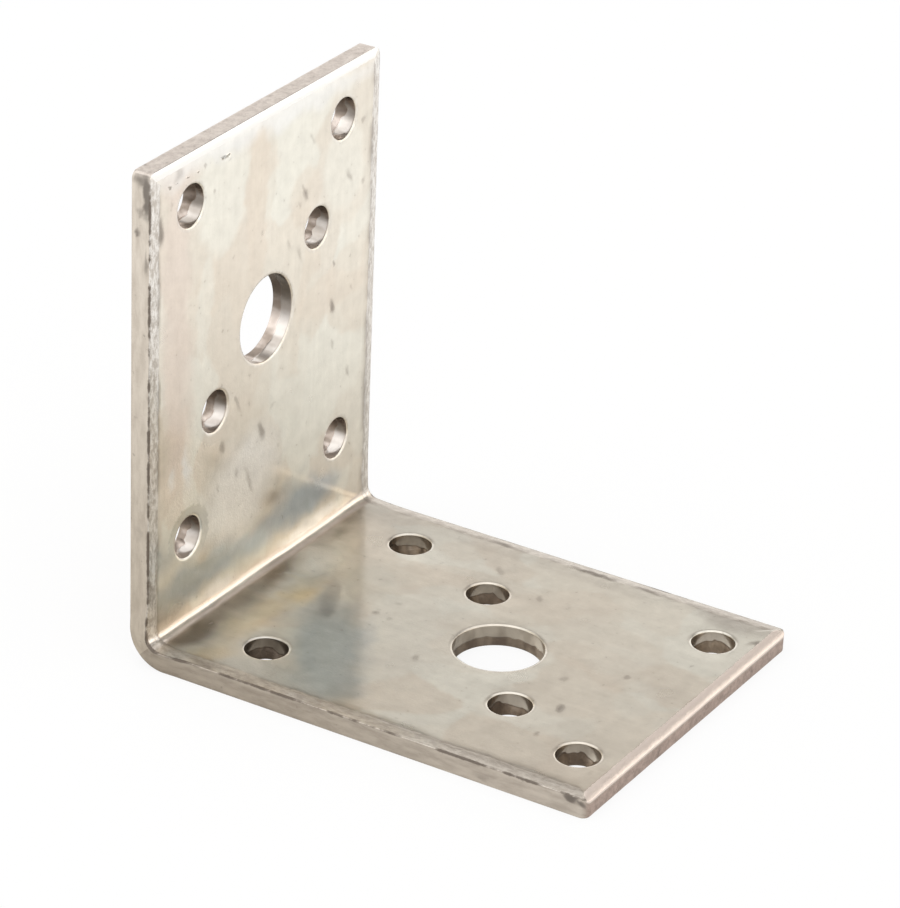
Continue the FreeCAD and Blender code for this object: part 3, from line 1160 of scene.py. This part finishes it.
    # Faint relief, and the two reflections
    height = n.math("ADD", n.math("MULTIPLY", fine_rolled, 0.2), n.math("MULTIPLY", mottle, 0.8))
    bump = n.add("Bump", {"Strength": 0.25, "Distance": 0.00002, "Height": height}).outputs[0]
    rougher = {"Strength": 0.6, "Distance": 0.00008, "Height": grit, "Normal": bump}
    rough_bump = n.add("Bump", rougher).outputs[0]
    metal = {"Base Color": colour, "Metallic": 1.0}
    sharp = n.add("BsdfPrincipled", {**metal, "Roughness": SHARP, "Normal": bump})
    haze = n.add("BsdfPrincipled", {**metal, "Roughness": HAZY, "Normal": rough_bump})
    both = n.add("MixShader", {0: hazy, 1: sharp.outputs[0], 2: haze.outputs[0]})
    n.add("OutputMaterial", {"Surface": both.outputs[0]})
    return made


def camera():
    """At the photograph's viewing angle, some way off with a long lens."""
    place = Vector((0.220157, -0.375297, 0.245689))
    target = Vector((-0.003442, 0.001801, 0.023489))
    roll_angle = math.radians(2.275)
    data = bpy.data.cameras.new("camera")
    data.lens = 176.79
    data.sensor_width = 36.0
    data.clip_start = 0.01
    data.clip_end = 10.0
    cam = bpy.data.objects.new("camera", data)
    bpy.context.scene.collection.objects.link(cam)
    aim = (target - place).to_track_quat("-Z", "Y").to_matrix() @ Matrix.Rotation(roll_angle, 3, "Z")
    cam.matrix_world = Matrix.Translation(place) @ aim.to_4x4()
    bpy.context.scene.camera = cam


def floor():
    """A white table with a faint shadow. Seen directly it is mostly plain white; in the metal it shows a
    darker paint near the bracket as painted shade, fading to plain white further off.
    """
    half = 2.0
    corners = [(-half, -half, 0), (half, -half, 0), (half, half, 0), (-half, half, 0)]
    data = bpy.data.meshes.new("floor")
    data.from_pydata(corners, [], [(0, 1, 2, 3)])
    obj = bpy.data.objects.new("floor", data)
    bpy.context.scene.collection.objects.link(obj)
    made, n = material("floor")
    path = n.add("LightPath").outputs
    paint = n.mix(path["Is Glossy Ray"], FLOOR_PAINT, FLOOR_MIRRORED_SHADE)
    paint = n.add("BsdfDiffuse", {"Color": paint})
    glow = n.add("Emission", {"Color": (1, 1, 1, 1), "Strength": 1.0})
    place = n.add("TexCoord").outputs["Object"]
    far = n.add("VectorMath", {0: place, 1: (-0.05, 0, 0)}, operation="DISTANCE").outputs["Value"]
    seen = n.math("MULTIPLY", path["Is Camera Ray"], 0.85)
    # Painted shade in the reflections: near the bracket the mirrored floor shows only its darker paint
    mirrored = n.math("MULTIPLY", path["Is Glossy Ray"], n.spread(far, 0.02, 0.12, 0.0, 1.0))
    both = n.add("MixShader", {0: n.most(seen, mirrored), 1: paint.outputs[0], 2: glow.outputs[0]})
    n.add("OutputMaterial", {"Surface": both.outputs[0]})
    data.materials.append(made)


def world():
    """Soft light from overhead and from a pale horizon, with a dimmer band between them at the back."""
    studio = bpy.data.worlds.new("studio")
    bpy.context.scene.world = studio
    n = Nodes(studio)
    direction = n.add("SeparateXYZ", {0: n.add("TexCoord").outputs["Generated"]}).outputs
    left = n.ramp(direction["Z"], BACK_LEFT + OVERHEAD)
    right = n.ramp(direction["Z"], BACK_RIGHT + OVERHEAD)
    back = n.mix(n.spread(direction["X"], -0.35, 0.35), left, right)
    front = n.ramp(direction["Z"], FRONT)
    light = n.mix(n.spread(direction["Y"], 0.1, -0.3), back, front)
    lit = n.add("Background", {"Color": light, "Strength": 1.0})
    white = n.add("Background", {"Color": (1, 1, 1, 1), "Strength": 1.0})
    seen = n.add("LightPath").outputs["Is Camera Ray"]
    both = n.add("MixShader", {0: seen, 1: lit.outputs[0], 2: white.outputs[0]})
    n.add("OutputWorld", {"Surface": both.outputs[0]})


camera()
floor()
world()
piece = bracket()
piece.data.materials.append(zinc())
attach(piece, "root")
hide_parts(NODE)
bpy.context.scene.view_settings.view_transform = "Standard"
